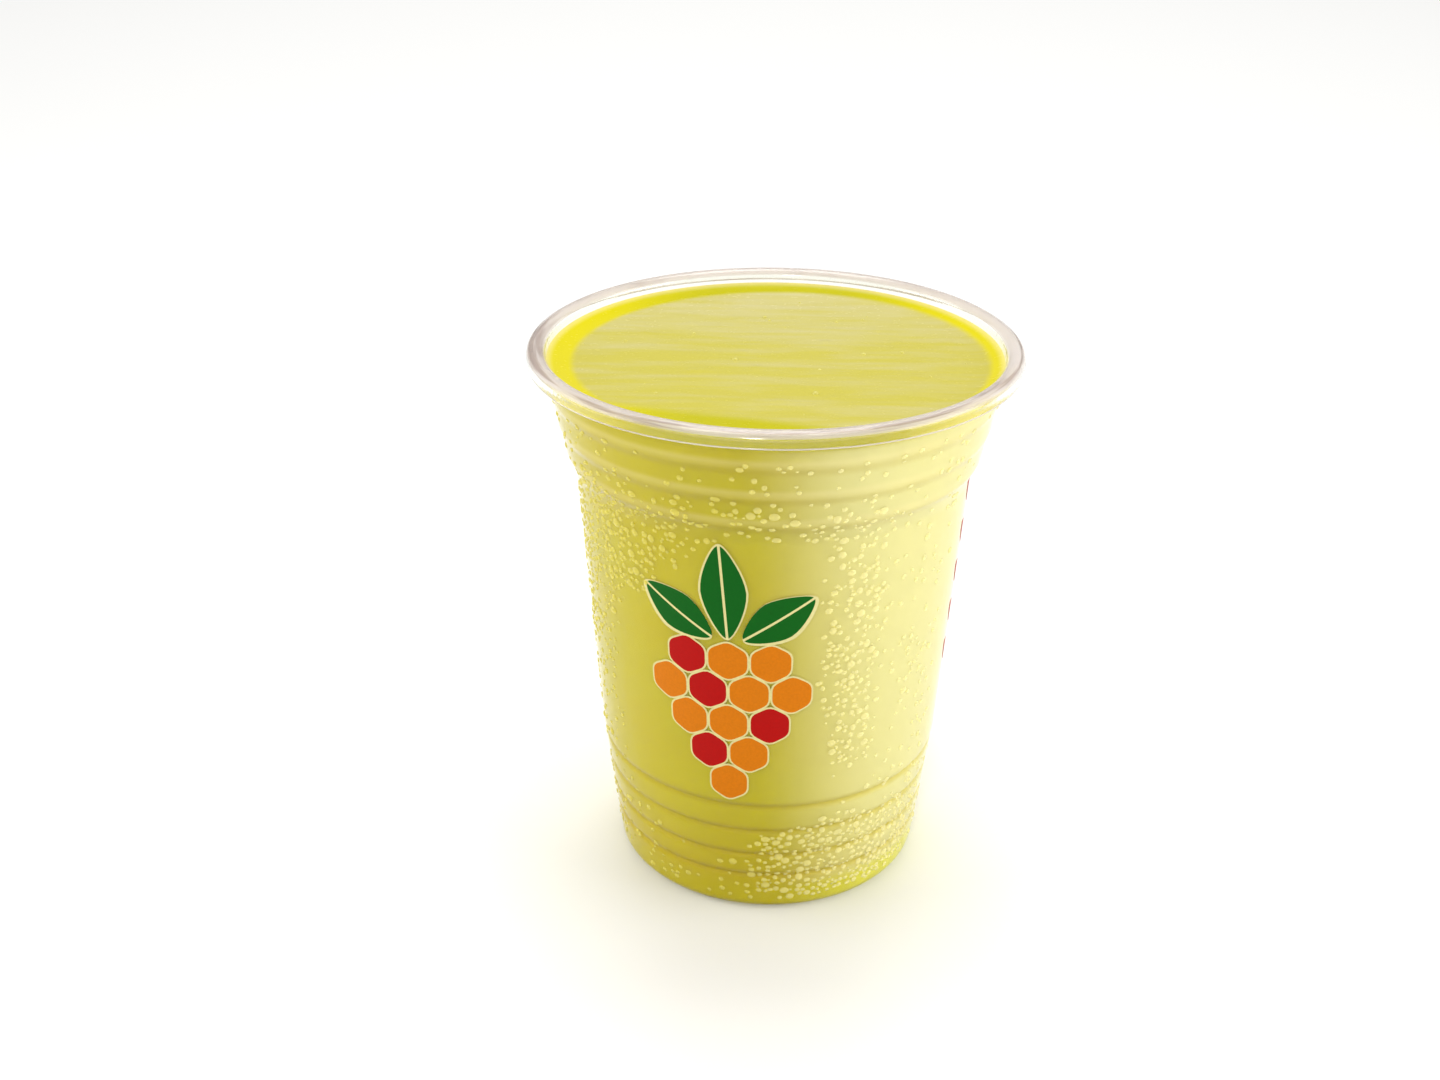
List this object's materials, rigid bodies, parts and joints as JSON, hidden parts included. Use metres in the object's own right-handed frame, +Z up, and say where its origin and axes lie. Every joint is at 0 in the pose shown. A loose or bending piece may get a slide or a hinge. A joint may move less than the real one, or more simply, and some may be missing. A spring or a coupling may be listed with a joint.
{
  "type": "cup of avocado juice",
  "caption": "Clear lidless plastic takeaway cup with rolled rim, stacking steps and foot grooves, filled almost to the brim with thick yellow-green avocado juice.",
  "frame": {"origin": "centre of the ring that the cup stands on", "axes": "+Z up along the cup's axis, -Y towards the side with the main print, +X to the right of someone facing that print"},
  "size_m": [0.095, 0.095, 0.1113],
  "materials": {
    "clear_plastic": "clear thermoformed polypropylene, printed on two sides, beaded with condensation",
    "juice": "thick opaque blended juice with a soft wet gloss"
  },
  "bodies": {
    "root": {"cup": "clear_plastic", "juice": "juice"}
  },
  "joints": []
}
